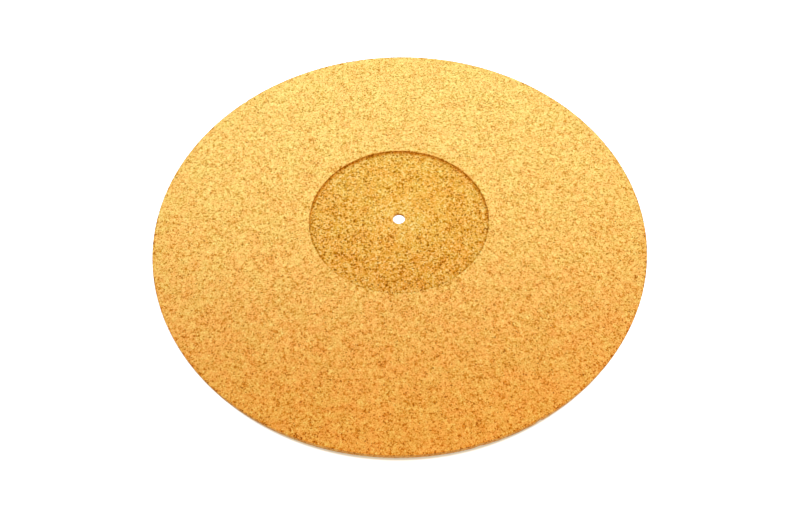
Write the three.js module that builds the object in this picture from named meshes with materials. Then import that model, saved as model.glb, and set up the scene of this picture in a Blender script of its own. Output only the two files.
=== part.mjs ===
// A turntable mat: one disc of fine-grained agglomerated cork, with a shallow round
// recess in its top for a record's label and a hole in its middle for the spindle.
// Millimetres, +Z up. The origin is on the spindle axis, on the surface the mat lies on.
import * as THREE from 'three';
import { mergeVertices } from 'three/addons/utils/BufferGeometryUtils.js';

// Driving dimensions
const MAT_DIAMETER = 295;
const MAT_THICKNESS = 3.5;
const RECESS_DIAMETER = 109;
const RECESS_DEPTH = 1.8;
const SPINDLE_HOLE_DIAMETER = 7.4;

// Edges: the die rounds them a little as it cuts, and handling wears them
const RIM_TOP_RADIUS = 0.5;
const RIM_BOTTOM_RADIUS = 0.3;
const RECESS_LIP_RADIUS = 0.35;
const RECESS_CORNER_RADIUS = 0.3;
const HOLE_TOP_RADIUS = 0.25;
const HOLE_BOTTOM_RADIUS = 0.2;

// How finely the turned form is divided
const TURN_STEPS = 144;
const ARC_STEPS = 2;
const WELD_DISTANCE = 0.0001;

// The finish, as seen on the top face
const CORK_COLOUR = 0xe6b465;
const CORK_ROUGHNESS = 0.9;

// Points of a quarter arc in the section plane (radius from the axis, height),
// about (centreRadius, centreHeight), from one angle in degrees to another.
function quarterArc(centreRadius, centreHeight, arcRadius, fromDegrees, toDegrees) {
  const points = [];
  for (let step = 0; step <= ARC_STEPS; step++) {
    const turn = fromDegrees + ((toDegrees - fromDegrees) * step) / ARC_STEPS;
    const angle = THREE.MathUtils.degToRad(turn);
    const radius = centreRadius + arcRadius * Math.cos(angle);
    const height = centreHeight + arcRadius * Math.sin(angle);
    points.push(new THREE.Vector2(radius, height));
  }
  return points;
}

// The section's outer end: the cut edge of the disc, from the underside to the top face.
function rimSection() {
  const rim = MAT_DIAMETER / 2;
  return [
    ...quarterArc(rim - RIM_BOTTOM_RADIUS, RIM_BOTTOM_RADIUS, RIM_BOTTOM_RADIUS, -90, 0),
    ...quarterArc(rim - RIM_TOP_RADIUS, MAT_THICKNESS - RIM_TOP_RADIUS, RIM_TOP_RADIUS, 0, 90),
  ];
}

// The step from the top face down to the recess floor, with a worn lip above and a
// small fillet below.
function recessStepSection() {
  const wall = RECESS_DIAMETER / 2;
  const floor = MAT_THICKNESS - RECESS_DEPTH;
  const lipHeight = MAT_THICKNESS - RECESS_LIP_RADIUS;
  const cornerHeight = floor + RECESS_CORNER_RADIUS;
  return [
    ...quarterArc(wall + RECESS_LIP_RADIUS, lipHeight, RECESS_LIP_RADIUS, 90, 180),
    ...quarterArc(wall - RECESS_CORNER_RADIUS, cornerHeight, RECESS_CORNER_RADIUS, 0, -90),
  ];
}

// The section's inner end: the spindle hole's wall, from the recess floor to the underside.
function spindleHoleSection() {
  const hole = SPINDLE_HOLE_DIAMETER / 2;
  const floor = MAT_THICKNESS - RECESS_DEPTH;
  return [
    ...quarterArc(hole + HOLE_TOP_RADIUS, floor - HOLE_TOP_RADIUS, HOLE_TOP_RADIUS, 90, 180),
    ...quarterArc(hole + HOLE_BOTTOM_RADIUS, HOLE_BOTTOM_RADIUS, HOLE_BOTTOM_RADIUS, 180, 270),
  ];
}

// The whole disc: its section, closed on itself, turned about the spindle axis.
function matGeometry() {
  const section = [...rimSection(), ...recessStepSection(), ...spindleHoleSection()];
  section.push(section[0].clone());
  const turned = new THREE.LatheGeometry(section, TURN_STEPS);
  turned.rotateX(Math.PI / 2);
  turned.deleteAttribute('uv');
  turned.deleteAttribute('normal');
  const closed = mergeVertices(turned, WELD_DISTANCE);
  closed.computeVertexNormals();
  return closed;
}

// The one piece of the object.
function corkMat() {
  const cork = new THREE.MeshStandardMaterial({
    color: CORK_COLOUR,
    roughness: CORK_ROUGHNESS,
    metalness: 0,
  });
  const mat = new THREE.Mesh(matGeometry(), cork);
  mat.name = 'cork_mat';
  return mat;
}

const turntableMat = new THREE.Group();
turntableMat.add(corkMat());

export default turntableMat;
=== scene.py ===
"""The looks of a pressed-cork turntable mat: one worn, granular disc on a white floor."""

import math
from collections import namedtuple
from types import SimpleNamespace

import bpy
import numpy as np
from mathutils import Matrix, Vector, noise


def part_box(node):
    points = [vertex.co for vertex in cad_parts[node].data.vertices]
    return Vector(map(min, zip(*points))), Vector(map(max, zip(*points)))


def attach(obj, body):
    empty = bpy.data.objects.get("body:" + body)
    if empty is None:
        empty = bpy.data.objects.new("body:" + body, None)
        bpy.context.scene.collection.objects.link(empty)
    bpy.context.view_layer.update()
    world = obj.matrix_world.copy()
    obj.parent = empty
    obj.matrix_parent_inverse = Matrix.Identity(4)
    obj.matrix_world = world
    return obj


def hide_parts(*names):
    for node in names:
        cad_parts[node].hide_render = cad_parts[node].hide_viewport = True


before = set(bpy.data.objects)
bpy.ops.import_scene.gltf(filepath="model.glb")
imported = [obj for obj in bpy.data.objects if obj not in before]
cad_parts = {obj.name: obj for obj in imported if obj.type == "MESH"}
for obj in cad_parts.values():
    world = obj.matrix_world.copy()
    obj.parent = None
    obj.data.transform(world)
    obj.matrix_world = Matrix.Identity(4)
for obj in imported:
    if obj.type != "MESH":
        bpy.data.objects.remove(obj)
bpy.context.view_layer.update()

# Sizes are in millimetres in this script, and become metres where they reach Blender
MM = 0.001
NODE = "cork_mat"
HIGH_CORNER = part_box(NODE)[1]
RIM_RADIUS = HIGH_CORNER.x / MM
THICKNESS = HIGH_CORNER.z / MM

# The solid's recess, hole and rounded edges
RECESS_RADIUS = 54.5
RECESS_DEPTH = 1.8
HOLE_RADIUS = 3.7
FLOOR_HEIGHT = THICKNESS - RECESS_DEPTH
RIM_TOP_ROUND = 0.5
RIM_BOTTOM_ROUND = 0.3
LIP_ROUND = 0.35
CORNER_ROUND = 0.3
HOLE_TOP_ROUND = 0.25
HOLE_BOTTOM_ROUND = 0.2

# How finely the disc is divided. Each pair is a radius, and the points round a ring from there outwards
RING_POINTS = ((141.0, 1152), (50.0, 576), (20.0, 288), (0.0, 144))
UNDERSIDE_POINTS = ((146.0, 1152), (145.0, 576), (20.0, 288), (0.0, 144))
ROUND_STEPS = 3
FACE_STEP = 1.2
WALL_STEP = 0.5
UNDERSIDE_STEP = 5.0
UNDERSIDE_GAPS = (0.8, 2.0, 4.0, 8.0)

# The granules' relief: shallow domes, with finer bumps over them
GRANULE_SIZE = 1.3
DOME_STEEPNESS = 1.6
DOME_SHARE = 0.6
FINE_SHARE = 0.4
FINE_BUMPS_PER_MM = 1.9
TOP_RELIEF = 0.07
FLOOR_RELIEF = 0.16
FLOOR_MIDDLE = 0.4
HOLE_RELIEF = 0.05
HOLE_SINKING = 0.3

# The crumbled edges: how deep, how far from an edge, and its share on the lip and the rim
EDGE_REACH = 1.0
EDGE_CRUMBLE = 0.16
LIP_WIDENING = 0.45
LIP_SINKING = 0.3
RIM_SINKING = 0.5
CHIP_DEPTH = 0.45
CHIP_SPACING = 6.0
CHIP_START = 0.42
CHIP_GROWTH = 3.0
CHIP_SHIFT = Vector((7.1, 3.3, 1.9))

# The flat layout of the surface: each disc's share of its side
FLAT_LAYOUT = "OFBake"
TOP_SHARE = 0.66
UNDERSIDE_SHARE = 0.49
LAYOUT_MARGIN = 0.004

# The photograph's camera, fitted to the rim, the recess and the hole
CAMERA_ELEVATION = 55.54
CAMERA_DISTANCE = 402.7
CAMERA_AIM = (0.12, -31.94, THICKNESS)
CAMERA_ROLL = -1.25
CAMERA_LENS = 31.20
CAMERA_SENSOR = 36.0
CAMERA_NEAR = 10.0

# The sizes in the cork's pattern. TEAR is how far the granules' outlines are pushed about
BARK_SIZE = 0.9
CRUMB_SIZE = 0.5
FINE_SIZE = 0.5
FLECK_SIZE = 1.3
PATCH_SIZE = 5.0
HUE_PATCH_SIZE = 8.0
SEAM_PATCH_SIZE = 2.2
SEAM_WIDTH = 0.16
TEAR = 0.8
TEAR_SIZE = 1.1

# Where the seams and the larger flecks of bark show: the noise from which, and at which they are full
SEAMS_SHOWN = (0.44, 0.6)
FLECKS_SHOWN = (0.66, 0.74)
FLECK_STRENGTH = 1.5
BARK_SHARE = 0.4

# The cork's tone: its middle, and how much each part of the pattern changes it
MIDDLE_TONE = 0.6
GRANULE_CONTRAST = 0.175
CRUMB_CONTRAST = 0.46
FINE_CONTRAST = 0.58
PATCH_CONTRAST = 0.12
SEAM_CONTRAST = 0.2
SEAM_AVERAGE = 0.15
BARK_CONTRAST = 0.33
BARK_AVERAGE = 0.12

# The recess floor: pitted, smooth round the hole, and rougher away from CALM_PLACE
PIT_CONTRAST = 0.15
ROUGH_CONTRAST = 1.2
CALM_PLACE = (8.0, 10.0, 0.0)
CALM_FROM_TO = (4.0, 56.0)
SMOOTH_FROM_TO = (24.0, 8.0)
SMOOTH_PALENESS = 0.075
FLOOR_EDGE = 0.1
ABOVE_UNDERSIDE = (0.4, 0.8)

# The rim, where the die tore the granules and painted shade darkens its edge, and the painted shade in
# the recess's corner
EDGE_WIDTH = 2.0
EDGE_INSET = 0.3
EDGE_CONTRAST = 0.35
# How much painted shade darkens the rim's edge, over the torn granules' contrast
EDGE_SHADE = 0.06
CORNER_WIDTH = 1.8
CORNER_INSET = 0.3
CORNER_DEPTH = (0.2, 0.7)
CORNER_OUTSIDE = (0.8, 0.4)
# How much painted shade darkens the recess's corner and wall
CORNER_SHADE = 0.2

# Where a surface is steep enough to be a wall, as how far up it faces
RIM_ZONE = 5.0
RIM_WALL_FACING = (0.98, 0.5)
INNER_WALL_FACING = (0.5, 0.3)

# From a pit's dark brown to the palest granule: the tone, and the colour on screen
CORK_TONES = (
    (0.0, (134, 68, 0)),
    (0.2, (190, 106, 2)),
    (0.4, (219, 141, 17)),
    (0.6, (235, 168, 45)),
    (0.8, (246, 195, 82)),
    (1.0, (249, 223, 128)),
)
TINT_PATCHES = (0.3, 0.7)
ORANGE_TINT = (1.03, 0.93, 0.88, 1.0)
YELLOW_TINT = (0.97, 1.04, 1.05, 1.0)
CUT_TINT = (0.935, 0.885, 1.10, 1.0)
# Painted shade that darkens the rim's wall and the recess's and the hole's walls, and a pale tan mixed
# into the rim's wall
RIM_WALL_SHADE = (0.82, 0.89, 1.0, 1.0)
RIM_PALE_TAN = (0.62, 0.39, 0.15, 1.0)
RIM_PALE_TAN_SHARE = 0.3
INNER_WALL_SHADE = (0.79, 0.84, 1.0, 1.0)

# The bump: heights in millimetres, and how much more of them the rough floor has
BUMP = 0.6
DOME_BUMP = -0.10
SEAM_BUMP = -0.05
BARK_BUMP = -0.08
FINE_BUMP = 0.10
ROUGH_BUMP = 0.8

# The finish: dark pits are dull, middling granules shine most and the palest ones less
ROUGHNESS_TONES = (0.2, 0.9)
ROUGHNESS = (0.75, 0.5)
SHINE_TONES = (0.3, 0.6)
SHINE = (0.05, 0.75)
DULLING_TONES = (0.6, 0.95)
DULLING = (1.0, 0.2)
CUT_SHINE = 0.15

# The floor. Its own light keeps it white, but for a thin crescent of shadow at the near rim
FLOOR_HALF = 3000.0
FLOOR_DROP = 0.02
FLOOR_COLOUR = (0.73, 0.89, 1.0, 1.0)
FLOOR_ROUGHNESS = 0.9
LIFT_COLOUR = (0.8, 0.88, 1.0, 1.0)
LIFT = (0.1, 0.9)
LIFT_CENTRE = (0.0, -6.0, 0.0)
LIFT_OUTSIDE = (RIM_RADIUS - 5.6, RIM_RADIUS - 4.1)
LIFT_UNDER_HOLE = (RECESS_RADIUS, RECESS_RADIUS - 1.0)

# The lights: a warm room and a weak softbox by the camera, and cool softboxes above and behind
WARM_LIGHT = (1.0, 0.68, 0.42)
COOL_LIGHT = (0.27, 0.64, 1.0)
WHITE = (1.0, 1.0, 1.0, 1.0)
ROOM_LIGHT = 0.76
Softbox = namedtuple("Softbox", "name place aim width height power colour")
SOFTBOXES = (
    Softbox("back_softbox", (5.0, 300.0, 220.0), (0.0, 0.0, 0.0), 700.0, 200.0, 1.46, COOL_LIGHT),
    Softbox("top_softbox", (5.0, 125.0, 90.0), (5.0, 125.0, 0.0), 900.0, 350.0, 1.01, COOL_LIGHT),
    Softbox("front_softbox", (120.0, -330.0, 260.0), (0.0, 0.0, 0.0), 500.0, 250.0, 0.42, WARM_LIGHT),
)


# The section: rings from the hole's lower edge, over the top, to the rim's lower edge

def straight(start, end, step):
    """Points from start up to but not including end, as (radius, height), about step apart."""
    count = max(1, round(math.dist(start, end) / step))
    points = []
    for i in range(count):
        radius = start[0] + (end[0] - start[0]) * i / count
        height = start[1] + (end[1] - start[1]) * i / count
        points.append((radius, height))
    return points


def rounding(centre, radius, from_degrees, to_degrees):
    """A quarter round as (radius, height) points, without its last point."""
    points = []
    for i in range(ROUND_STEPS):
        angle = math.radians(from_degrees + (to_degrees - from_degrees) * i / ROUND_STEPS)
        points.append((centre[0] + radius * math.cos(angle), centre[1] + radius * math.sin(angle)))
    return points


def hole_wall():
    """The spindle hole's wall, from the underside to the recess floor."""
    low = (HOLE_RADIUS + HOLE_BOTTOM_ROUND, HOLE_BOTTOM_ROUND)
    high = (HOLE_RADIUS + HOLE_TOP_ROUND, FLOOR_HEIGHT - HOLE_TOP_ROUND)
    return [
        *rounding(low, HOLE_BOTTOM_ROUND, 270, 180),
        *straight((HOLE_RADIUS, low[1]), (HOLE_RADIUS, high[1]), WALL_STEP),
        *rounding(high, HOLE_TOP_ROUND, 180, 90),
    ]


def recess_floor():
    """The recess floor, outwards from the hole."""
    inner = HOLE_RADIUS + HOLE_TOP_ROUND
    outer = RECESS_RADIUS - CORNER_ROUND
    return straight((inner, FLOOR_HEIGHT), (outer, FLOOR_HEIGHT), FACE_STEP)


def recess_wall():
    """The recess's wall, with the corner under it and the lip above it."""
    corner = (RECESS_RADIUS - CORNER_ROUND, FLOOR_HEIGHT + CORNER_ROUND)
    lip = (RECESS_RADIUS + LIP_ROUND, THICKNESS - LIP_ROUND)
    return [
        *rounding(corner, CORNER_ROUND, -90, 0),
        *straight((RECESS_RADIUS, corner[1]), (RECESS_RADIUS, lip[1]), WALL_STEP),
        *rounding(lip, LIP_ROUND, 180, 90),
    ]


def top_face():
    """The face that a record lies on, outwards from the recess."""
    inner = RECESS_RADIUS + LIP_ROUND
    outer = RIM_RADIUS - RIM_TOP_ROUND
    return straight((inner, THICKNESS), (outer, THICKNESS), FACE_STEP)


def rim_wall():
    """The rim, from the top face down to the underside."""
    high = (RIM_RADIUS - RIM_TOP_ROUND, THICKNESS - RIM_TOP_ROUND)
    low = (RIM_RADIUS - RIM_BOTTOM_ROUND, RIM_BOTTOM_ROUND)
    return [
        *rounding(high, RIM_TOP_ROUND, 90, 0),
        *straight((RIM_RADIUS, high[1]), (RIM_RADIUS, low[1]), WALL_STEP),
        *rounding(low, RIM_BOTTOM_ROUND, 0, -90),
        (low[0], 0.0),
    ]


def underside():
    """From just inside the rim's lower edge to just outside the hole's, with close rings first."""
    outer = RIM_RADIUS - RIM_BOTTOM_ROUND
    inner = HOLE_RADIUS + HOLE_BOTTOM_ROUND
    near_rim = [(outer - gap, 0.0) for gap in UNDERSIDE_GAPS]
    next_radius = near_rim[-1][0] - UNDERSIDE_STEP
    return near_rim + straight((next_radius, 0.0), (inner, 0.0), UNDERSIDE_STEP)


# The relief: how far each point of the smooth disc moves

def grain(x, y, z):
    """The granules as shallow domes: 0 in the seams between them to about 1 at their middles."""
    near = noise.voronoi(Vector((x, y, z)) / GRANULE_SIZE)[0]
    return min(1.0, (near[1] - near[0]) * DOME_STEEPNESS)


def chips(x, y):
    """0 on most of an edge, rising to about 1 where a granule has crumbled away."""
    place = Vector((x, y, 0.0)) / CHIP_SPACING
    return max(0.0, noise.noise(place + CHIP_SHIFT) - CHIP_START) * CHIP_GROWTH


def relief(radius, height, x, y):
    """Moves (inwards, down) in millimetres at one point of the section, turned to (x, y)."""
    if height <= 0.0 and radius < RIM_RADIUS - EDGE_REACH:
        return 0.0, 0.0
    bumps = 1.0 - grain(x, y, height)
    fine = noise.noise(Vector((x, y, height)) * FINE_BUMPS_PER_MM) * 0.5 + 0.5
    rough = DOME_SHARE * bumps + FINE_SHARE * fine
    if radius < HOLE_RADIUS + EDGE_REACH:
        return -HOLE_RELIEF * rough, HOLE_SINKING * TOP_RELIEF * rough
    if radius < RECESS_RADIUS - EDGE_REACH:
        return 0.0, FLOOR_RELIEF * (rough - FLOOR_MIDDLE)
    crumble = EDGE_CRUMBLE * rough + CHIP_DEPTH * chips(x, y)
    if radius < RECESS_RADIUS + EDGE_REACH:
        lip = (height - FLOOR_HEIGHT) / RECESS_DEPTH
        return -crumble * LIP_WIDENING, crumble * LIP_SINKING * lip
    if radius > RIM_RADIUS - EDGE_REACH:
        edge = min(1.0, height / THICKNESS)
        return crumble, crumble * RIM_SINKING * edge * edge
    return 0.0, TOP_RELIEF * rough


# The disc's mesh and its flat layout

Ring = namedtuple("Ring", "radius height points flat_radius below")


def points_round(radius, table):
    """How many points a ring of this radius has, by a table of (from this radius, points)."""
    return next(count for limit, count in table if radius >= limit)


def section_rings():
    """Every ring of the section, in order.

    The flat radius lays the walls out flat beside the faces they meet, for the disc's flat layout.
    """
    over = hole_wall() + recess_floor() + recess_wall() + top_face() + rim_wall()
    lengths = [0.0] + [math.dist(a, b) for a, b in zip(over, over[1:])]
    floor_start = len(hole_wall())
    flat_start = over[floor_start][0] - sum(lengths[: floor_start + 1])
    rings = []
    for (radius, height), flat_radius in zip(over, flat_start + np.cumsum(lengths)):
        rings.append(Ring(radius, height, points_round(radius, RING_POINTS), flat_radius, False))
    for radius, height in underside():
        rings.append(Ring(radius, height, points_round(radius, UNDERSIDE_POINTS), radius, True))
    return rings


def ring_points(ring):
    """The positions round one ring, in metres, with the relief."""
    points = []
    for i in range(ring.points):
        turn = 2 * math.pi * i / ring.points
        cosine = math.cos(turn)
        sine = math.sin(turn)
        inwards, down = relief(ring.radius, ring.height, ring.radius * cosine, ring.radius * sine)
        away = ring.radius - inwards
        points.append((away * cosine * MM, away * sine * MM, (ring.height - down) * MM))
    return points


def even_faces(start_a, start_b, count):
    """Four-sided faces between two rings of as many points."""
    faces = []
    for i in range(count):
        j = (i + 1) % count
        faces.append((start_a + i, start_b + i, start_b + j, start_a + j))
    return faces


def fanned_faces(coarse, fine, steps):
    """Three triangles for each step of the coarse ring, beside two steps of the fine one."""
    faces = []
    for i in range(steps):
        near = coarse + i
        far = coarse + (i + 1) % steps
        first = fine + 2 * i
        middle = first + 1
        last = fine + (2 * i + 2) % (2 * steps)
        faces.append((near, first, middle))
        faces.append((near, middle, far))
        faces.append((far, middle, last))
    return faces


def faces_between(start_a, count_a, start_b, count_b):
    """Faces from one ring to the next, whose numbers of points are equal, half or double."""
    if count_a == count_b:
        return even_faces(start_a, start_b, count_a)
    if count_a < count_b:
        return fanned_faces(start_a, start_b, count_a)
    return [face[::-1] for face in fanned_faces(start_b, start_a, count_b)]


def disc_mesh(rings):
    """The closed surface through all the rings, from the last one back to the first."""
    vertices = []
    starts = []
    for ring in rings:
        starts.append(len(vertices))
        vertices.extend(ring_points(ring))
    faces = []
    for i, ring in enumerate(rings):
        j = (i + 1) % len(rings)
        faces.extend(faces_between(starts[i], ring.points, starts[j], rings[j].points))
    mesh = bpy.data.meshes.new("pressed_cork_disc")
    mesh.from_pydata(vertices, [], faces)
    mesh.update()
    return mesh


def flat_layout(mesh, rings):
    """Lays the surface out as two discs side by side: the top with every wall, and the underside."""
    counts = [ring.points for ring in rings]
    flat = np.repeat([ring.flat_radius for ring in rings], counts)
    radius = np.repeat([ring.radius for ring in rings], counts)
    below = np.repeat([ring.below for ring in rings], counts)
    turn = np.concatenate([np.arange(count) * 2 * math.pi / count for count in counts])
    top_scale = TOP_SHARE / 2 / flat.max()
    top_middle = LAYOUT_MARGIN + TOP_SHARE / 2
    under_scale = UNDERSIDE_SHARE / 2 / RIM_RADIUS
    under_middle = 1 - LAYOUT_MARGIN - UNDERSIDE_SHARE / 2
    places = np.zeros((len(mesh.loops), 2))
    for face in mesh.polygons:
        points = list(face.vertices)
        loops = slice(face.loop_start, face.loop_start + face.loop_total)
        middle = top_middle
        across = flat[points] * top_scale
        along = across
        if below[points].any():
            middle = under_middle
            along = radius[points] * under_scale
            across = -along
        places[loops, 0] = middle + across * np.cos(turn[points])
        places[loops, 1] = middle + along * np.sin(turn[points])
    layer = mesh.uv_layers.new(name=FLAT_LAYOUT)
    layer.data.foreach_set("uv", places.ravel())


def cork_disc():
    """The mat itself, with its relief, its flat layout and its material."""
    rings = section_rings()
    mesh = disc_mesh(rings)
    flat_layout(mesh, rings)
    mesh.shade_smooth()
    disc = bpy.data.objects.new("pressed_cork_disc", mesh)
    bpy.context.scene.collection.objects.link(disc)
    mesh.materials.append(cork_material())
    return disc


# Node graph helpers

def add_node(tree, kind, inputs=None, **settings):
    """One shader node, with its settings, and its inputs set or linked."""
    node = tree.nodes.new(kind)
    for name, value in settings.items():
        setattr(node, name, value)
    for name, value in (inputs or {}).items():
        if isinstance(value, bpy.types.NodeSocket):
            tree.links.new(value, node.inputs[name])
        else:
            node.inputs[name].default_value = value
    return node


def calc(tree, operation, first, second=0.0, third=0.0):
    """The result of one sum on numbers."""
    inputs = {0: first, 1: second, 2: third}
    return add_node(tree, "ShaderNodeMath", inputs, operation=operation).outputs[0]


def vector_calc(tree, operation, first, second):
    """The result of one sum on vectors."""
    inputs = {0: first, 1: second}
    return add_node(tree, "ShaderNodeVectorMath", inputs, operation=operation).outputs[0]


def ramp_between(tree, value, low, high, to_low=0.0, to_high=1.0):
    """Carries value from low..high to to_low..to_high, smoothly, and no further."""
    inputs = {"Value": value, "From Min": low, "From Max": high, "To Min": to_low, "To Max": to_high}
    node = add_node(tree, "ShaderNodeMapRange", inputs, interpolation_type="SMOOTHSTEP")
    return node.outputs["Result"]


def noise_node(tree, place, size, detail=2.0, roughness=0.5):
    """Smooth noise whose features are size millimetres across."""
    inputs = {"Vector": place, "Scale": 1 / size, "Detail": detail, "Roughness": roughness}
    return add_node(tree, "ShaderNodeTexNoise", inputs)


def noise_field(tree, place, size, detail=2.0, roughness=0.5):
    """The same noise as a number of about 0 to 1."""
    return noise_node(tree, place, size, detail, roughness).outputs["Fac"]


def cells(tree, place, size, feature="F1"):
    """A field of cells size millimetres across."""
    inputs = {"Vector": place, "Scale": 1 / size}
    return add_node(tree, "ShaderNodeTexVoronoi", inputs, feature=feature).outputs


def one_of_each_cell(tree, place, size, channel):
    """A number from 0 to 1 for each cell, the same all over it."""
    colour = cells(tree, place, size)["Color"]
    return add_node(tree, "ShaderNodeSeparateColor", {0: colour}).outputs[channel]


def upright_part(tree, vector):
    """How far a vector goes up."""
    return add_node(tree, "ShaderNodeSeparateXYZ", {0: vector}).outputs["Z"]


def mix_colours(tree, share, first, second, blend="MIX"):
    """second laid over first."""
    inputs = {"Factor": share, 6: first, 7: second}
    return add_node(tree, "ShaderNodeMix", inputs, data_type="RGBA", blend_type=blend).outputs[2]


def object_place(tree):
    """Where a point of the object lies, in millimetres."""
    at = add_node(tree, "ShaderNodeTexCoord").outputs["Object"]
    return vector_calc(tree, "MULTIPLY", at, (1 / MM, 1 / MM, 1 / MM))


def distance_from_axis(tree, place):
    """How far a point lies from the spindle's axis, in millimetres."""
    level = vector_calc(tree, "MULTIPLY", place, (1.0, 1.0, 0.0))
    return add_node(tree, "ShaderNodeVectorMath", {0: level}, operation="LENGTH").outputs["Value"]


def srgb(red, green, blue):
    """A colour as it looks on screen, 0 to 255, as the linear colour that a shader takes."""
    linear = []
    for value in (red / 255, green / 255, blue / 255):
        linear.append(value / 12.92 if value <= 0.04045 else ((value + 0.055) / 1.055) ** 2.4)
    return (*linear, 1.0)


# The cork's pattern: what its material knows of each point of the surface, gathered in "at"

def torn_place(tree, place):
    """The place pushed about a little, so that the cells drawn with it look torn."""
    push = noise_node(tree, place, TEAR_SIZE).outputs["Color"]
    push = vector_calc(tree, "SUBTRACT", push, (0.5, 0.5, 0.5))
    push = vector_calc(tree, "MULTIPLY", push, (TEAR, TEAR, TEAR))
    return vector_calc(tree, "ADD", place, push)


def cut_floor(tree, at):
    """1 where the recess was cut into the sheet."""
    inside = ramp_between(tree, at.radius, RECESS_RADIUS + FLOOR_EDGE, RECESS_RADIUS - FLOOR_EDGE)
    return calc(tree, "MULTIPLY", inside, at.above)


def roughened_floor(tree, at):
    """How coarsely the cutter tore the recess floor: most on the side away from CALM_PLACE."""
    moved = vector_calc(tree, "SUBTRACT", at.place, CALM_PLACE)
    away = ramp_between(tree, distance_from_axis(tree, moved), *CALM_FROM_TO)
    return calc(tree, "MULTIPLY", at.cut, away)


def smooth_patch(tree, at):
    """1 round the hole, where the cutter left the floor smooth and pale, fading outwards."""
    return calc(tree, "MULTIPLY", at.cut, ramp_between(tree, at.radius, *SMOOTH_FROM_TO))


def torn_and_shaded_edge(tree, at):
    """1 at the rim, where the die tore granules away and where the edge's painted shade goes, fading
    inwards.
    """
    return ramp_between(tree, at.radius, RIM_RADIUS - EDGE_WIDTH, RIM_RADIUS - EDGE_INSET)


def shaded_recess_corner(tree, at):
    """1 on the recess's wall and in the corner under it, fading inwards: where the corner's painted shade
    goes.
    """
    high, low = (THICKNESS - depth for depth in CORNER_DEPTH)
    far, close = (RECESS_RADIUS + width for width in CORNER_OUTSIDE)
    near = ramp_between(tree, at.radius, RECESS_RADIUS - CORNER_WIDTH, RECESS_RADIUS - CORNER_INSET)
    below_lip = ramp_between(tree, at.height, high, low)
    inside = ramp_between(tree, at.radius, far, close)
    corner = calc(tree, "MULTIPLY", near, calc(tree, "MULTIPLY", below_lip, inside))
    return calc(tree, "MULTIPLY", corner, at.above)


def broken_seams(tree, at):
    """1 in the dark gaps between granules, which show in some places only."""
    gaps = cells(tree, at.torn, GRANULE_SIZE, "DISTANCE_TO_EDGE")["Distance"]
    gaps = ramp_between(tree, gaps, 0.0, SEAM_WIDTH, 1.0, 0.0)
    shown = ramp_between(tree, noise_field(tree, at.place, SEAM_PATCH_SIZE, 3.0), *SEAMS_SHOWN)
    return calc(tree, "MULTIPLY", gaps, shown)


def dark_bits(tree, at):
    """1 on the granules of bark, and on rare larger flecks of it."""
    small = one_of_each_cell(tree, at.torn, BARK_SIZE, "Red")
    small = ramp_between(tree, small, 1 - BARK_SHARE, 1.0)
    flecks = noise_field(tree, at.torn, FLECK_SIZE, 1.5)
    flecks = ramp_between(tree, flecks, *FLECKS_SHOWN, 0.0, FLECK_STRENGTH)
    return calc(tree, "MAXIMUM", small, flecks)


def surface_point(tree):
    """A point's place in millimetres, and how much of each part of the pattern it has."""
    place = object_place(tree)
    facing = add_node(tree, "ShaderNodeTexCoord").outputs["Normal"]
    at = SimpleNamespace(place=place, torn=torn_place(tree, place))
    at.height = upright_part(tree, place)
    at.radius = distance_from_axis(tree, place)
    at.upward = calc(tree, "ABSOLUTE", upright_part(tree, facing))
    at.above = ramp_between(tree, at.height, *ABOVE_UNDERSIDE)
    at.cut = cut_floor(tree, at)
    at.rough = roughened_floor(tree, at)
    at.smooth = smooth_patch(tree, at)
    at.edge = torn_and_shaded_edge(tree, at)
    at.corner = shaded_recess_corner(tree, at)
    at.seams = broken_seams(tree, at)
    at.bits = dark_bits(tree, at)
    return at


# The cork's tone, colour, bump and finish

def cork_tone(tree, at):
    """How light the cork is: 0 in the darkest bark to 1 on the palest granule, with painted shade at the
    rim's edge and in the recess's corner.
    """
    changes = (
        (one_of_each_cell(tree, at.torn, GRANULE_SIZE, "Green"), 0.5, GRANULE_CONTRAST),
        (one_of_each_cell(tree, at.torn, CRUMB_SIZE, "Blue"), 0.5, CRUMB_CONTRAST),
        (noise_field(tree, at.place, FINE_SIZE, 2.0, 0.7), 0.5, FINE_CONTRAST),
        (noise_field(tree, at.place, PATCH_SIZE), 0.5, PATCH_CONTRAST),
        (at.seams, SEAM_AVERAGE, -SEAM_CONTRAST),
        (at.bits, BARK_AVERAGE, -BARK_CONTRAST),
    )
    change = 0.0
    for field, average, weight in changes:
        change = calc(tree, "MULTIPLY_ADD", calc(tree, "SUBTRACT", field, average), weight, change)
    pits = calc(tree, "MULTIPLY", calc(tree, "SUBTRACT", at.bits, BARK_AVERAGE), at.cut)
    change = calc(tree, "MULTIPLY_ADD", pits, -PIT_CONTRAST, change)
    contrast = calc(tree, "MULTIPLY_ADD", at.rough, ROUGH_CONTRAST - 1.0, 1.0)
    contrast = calc(tree, "MULTIPLY_ADD", at.edge, EDGE_CONTRAST, contrast)
    tone = calc(tree, "MULTIPLY_ADD", change, contrast, MIDDLE_TONE)
    # The rim's edge darker: painted shade
    tone = calc(tree, "MULTIPLY_ADD", at.edge, -EDGE_SHADE, tone)
    # Painted shade in the recess's corner and on its wall
    tone = calc(tree, "MULTIPLY_ADD", at.corner, -CORNER_SHADE, tone)
    return calc(tree, "MULTIPLY_ADD", at.smooth, SMOOTH_PALENESS, tone)


def tone_colour(tree, tone):
    """The colour of cork of each tone."""
    ramp = add_node(tree, "ShaderNodeValToRGB", {0: tone})
    stops = ramp.color_ramp.elements
    stops[0].color = srgb(*CORK_TONES[0][1])
    stops[1].color = srgb(*CORK_TONES[-1][1])
    for position, colour in CORK_TONES[1:-1]:
        stops.new(position).color = srgb(*colour)
    return ramp.outputs["Color"]


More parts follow.
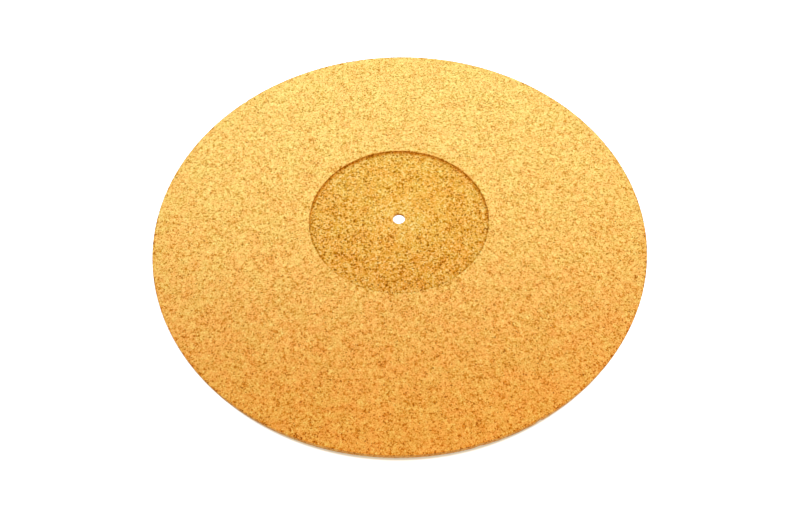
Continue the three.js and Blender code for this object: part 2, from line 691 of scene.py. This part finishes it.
def shaded_walls(tree, at, colour):
    """The colour with painted shade on the walls: the recess's and the hole's walls darker and browner,
    and the rim's darker and mixed a little towards a pale tan.
    """
    at_rim = calc(tree, "GREATER_THAN", at.radius, RIM_RADIUS - RIM_ZONE)
    inside = calc(tree, "SUBTRACT", 1.0, at_rim)
    rim_wall = calc(tree, "MULTIPLY", at_rim, ramp_between(tree, at.upward, *RIM_WALL_FACING))
    inner_wall = calc(tree, "MULTIPLY", inside, ramp_between(tree, at.upward, *INNER_WALL_FACING))
    # Painted shade darkens the rim's wall, then a share of pale tan goes over it
    colour = mix_colours(tree, rim_wall, colour, RIM_WALL_SHADE, "MULTIPLY")
    pale_tan = calc(tree, "MULTIPLY", rim_wall, RIM_PALE_TAN_SHARE)
    colour = mix_colours(tree, pale_tan, colour, RIM_PALE_TAN)
    # Painted shade darkens the recess's and the hole's walls
    return mix_colours(tree, inner_wall, colour, INNER_WALL_SHADE, "MULTIPLY")


def cork_colour(tree, at, tone):
    """The colour for each tone, warmer in broad patches and in the recess, with painted shade on the
    walls.
    """
    patches = noise_field(tree, at.place, HUE_PATCH_SIZE, 3.0, 0.7)
    tint = mix_colours(tree, ramp_between(tree, patches, *TINT_PATCHES), ORANGE_TINT, YELLOW_TINT)
    colour = mix_colours(tree, 1.0, tone_colour(tree, tone), tint, "MULTIPLY")
    colour = mix_colours(tree, at.cut, colour, CUT_TINT, "MULTIPLY")
    return shaded_walls(tree, at, colour)


def cork_bump(tree, at):
    """The normal with the fine relief in it."""
    domes = cells(tree, at.torn, GRANULE_SIZE, "SMOOTH_F1")["Distance"]
    fine = noise_field(tree, at.torn, FINE_SIZE, 3.0, 0.6)
    parts = ((domes, DOME_BUMP), (at.seams, SEAM_BUMP), (at.bits, BARK_BUMP), (fine, FINE_BUMP))
    height = 0.0
    for field, weight in parts:
        height = calc(tree, "MULTIPLY_ADD", field, weight, height)
    height = calc(tree, "MULTIPLY", height, calc(tree, "MULTIPLY_ADD", at.rough, ROUGH_BUMP, 1.0))
    metres = calc(tree, "MULTIPLY", height, MM)
    inputs = {"Height": metres, "Strength": BUMP, "Distance": 1.0}
    return add_node(tree, "ShaderNodeBump", inputs).outputs["Normal"]


def cork_shine(tree, at, tone):
    """How much the cork reflects: little in the pits and on the cut floor."""
    shine = ramp_between(tree, tone, *SHINE_TONES, *SHINE)
    shine = calc(tree, "MULTIPLY", shine, ramp_between(tree, tone, *DULLING_TONES, *DULLING))
    return calc(tree, "MULTIPLY", shine, calc(tree, "MULTIPLY_ADD", at.cut, CUT_SHINE - 1.0, 1.0))


def cork_material():
    """Pressed cork, with its granules, seams and bark, the marks of its cutting, and painted shade on its
    walls, its rim's edge and its recess's corner.
    """
    material = bpy.data.materials.new("pressed_cork")
    material.use_nodes = True
    tree = material.node_tree
    shader = tree.nodes["Principled BSDF"]
    at = surface_point(tree)
    tone = cork_tone(tree, at)
    roughness = ramp_between(tree, tone, *ROUGHNESS_TONES, *ROUGHNESS)
    tree.links.new(cork_colour(tree, at, tone), shader.inputs["Base Color"])
    tree.links.new(roughness, shader.inputs["Roughness"])
    tree.links.new(cork_shine(tree, at, tone), shader.inputs["Specular IOR Level"])
    tree.links.new(cork_bump(tree, at), shader.inputs["Normal"])
    return material


# The stage

def seen_directly(tree):
    """1 for rays from the camera, or by way of a glossy or clear surface, and 0 for others."""
    rays = add_node(tree, "ShaderNodeLightPath").outputs
    either = calc(tree, "MAXIMUM", rays["Is Camera Ray"], rays["Is Glossy Ray"])
    return calc(tree, "MAXIMUM", either, rays["Is Transmission Ray"])


def floor_material():
    """White paint, lifted to plain white wherever the mat's shadow doesn't fall."""
    material = bpy.data.materials.new("white_floor")
    material.use_nodes = True
    tree = material.node_tree
    shader = tree.nodes["Principled BSDF"]
    shader.inputs["Base Color"].default_value = FLOOR_COLOUR
    shader.inputs["Roughness"].default_value = FLOOR_ROUGHNESS
    shader.inputs["Specular IOR Level"].default_value = 0.0
    shader.inputs["Emission Color"].default_value = LIFT_COLOUR
    place = vector_calc(tree, "SUBTRACT", object_place(tree), LIFT_CENTRE)
    away = distance_from_axis(tree, place)
    outside = ramp_between(tree, away, *LIFT_OUTSIDE, *LIFT)
    under_hole = ramp_between(tree, away, *LIFT_UNDER_HOLE, *LIFT)
    lift = calc(tree, "MAXIMUM", outside, under_hole)
    lift = calc(tree, "MULTIPLY", seen_directly(tree), lift)
    tree.links.new(lift, shader.inputs["Emission Strength"])
    return material


def white_floor():
    """A wide floor, just under the mat."""
    half = FLOOR_HALF * MM
    height = -FLOOR_DROP * MM
    corners = [(-half, -half, height), (half, -half, height), (half, half, height), (-half, half, height)]
    mesh = bpy.data.meshes.new("floor")
    mesh.from_pydata(corners, [], [(0, 1, 2, 3)])
    mesh.materials.append(floor_material())
    floor = bpy.data.objects.new("floor", mesh)
    bpy.context.scene.collection.objects.link(floor)


def white_world():
    """White where it is seen, and a soft even light for everything else."""
    world = bpy.data.worlds.new("white_room")
    bpy.context.scene.world = world
    world.use_nodes = True
    tree = world.node_tree
    light = tree.nodes["Background"]
    light.inputs["Color"].default_value = (*WARM_LIGHT, 1.0)
    light.inputs["Strength"].default_value = ROOM_LIGHT
    seen = add_node(tree, "ShaderNodeBackground", {"Color": WHITE, "Strength": 1.0})
    shares = {0: seen_directly(tree), 1: light.outputs[0], 2: seen.outputs[0]}
    both = add_node(tree, "ShaderNodeMixShader", shares)
    tree.links.new(both.outputs[0], tree.nodes["World Output"].inputs["Surface"])


def add_softbox(box):
    """One rectangular lamp at its place, turned to its aim."""
    data = bpy.data.lights.new(box.name, "AREA")
    data.shape = "RECTANGLE"
    data.size = box.width * MM
    data.size_y = box.height * MM
    data.energy = box.power
    data.color = box.colour
    lamp = bpy.data.objects.new(box.name, data)
    lamp.visible_camera = False
    lamp.location = Vector(box.place) * MM
    lamp.rotation_euler = (Vector(box.aim) - Vector(box.place)).to_track_quat("-Z", "Y").to_euler()
    bpy.context.scene.collection.objects.link(lamp)


def photograph_camera():
    """The camera at the photograph's place, with its small roll."""
    elevation = math.radians(CAMERA_ELEVATION)
    roll = math.radians(CAMERA_ROLL)
    back = Vector((0.0, -math.cos(elevation), math.sin(elevation)))
    level = Vector((1.0, 0.0, 0.0))
    upright = back.cross(level)
    right = level * math.cos(roll) + upright * math.sin(roll)
    up = upright * math.cos(roll) - level * math.sin(roll)
    place = (Vector(CAMERA_AIM) + back * CAMERA_DISTANCE) * MM
    data = bpy.data.cameras.new("camera")
    data.sensor_width = CAMERA_SENSOR
    data.lens = CAMERA_LENS
    data.clip_start = CAMERA_NEAR * MM
    camera = bpy.data.objects.new("camera", data)
    camera.matrix_world = Matrix.Translation(place) @ Matrix((right, up, back)).transposed().to_4x4()
    bpy.context.scene.collection.objects.link(camera)
    bpy.context.scene.camera = camera


bpy.context.scene.view_settings.view_transform = "Standard"
photograph_camera()
disc = cork_disc()
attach(disc, "root")
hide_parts(NODE)
white_floor()
white_world()
for softbox in SOFTBOXES:
    add_softbox(softbox)
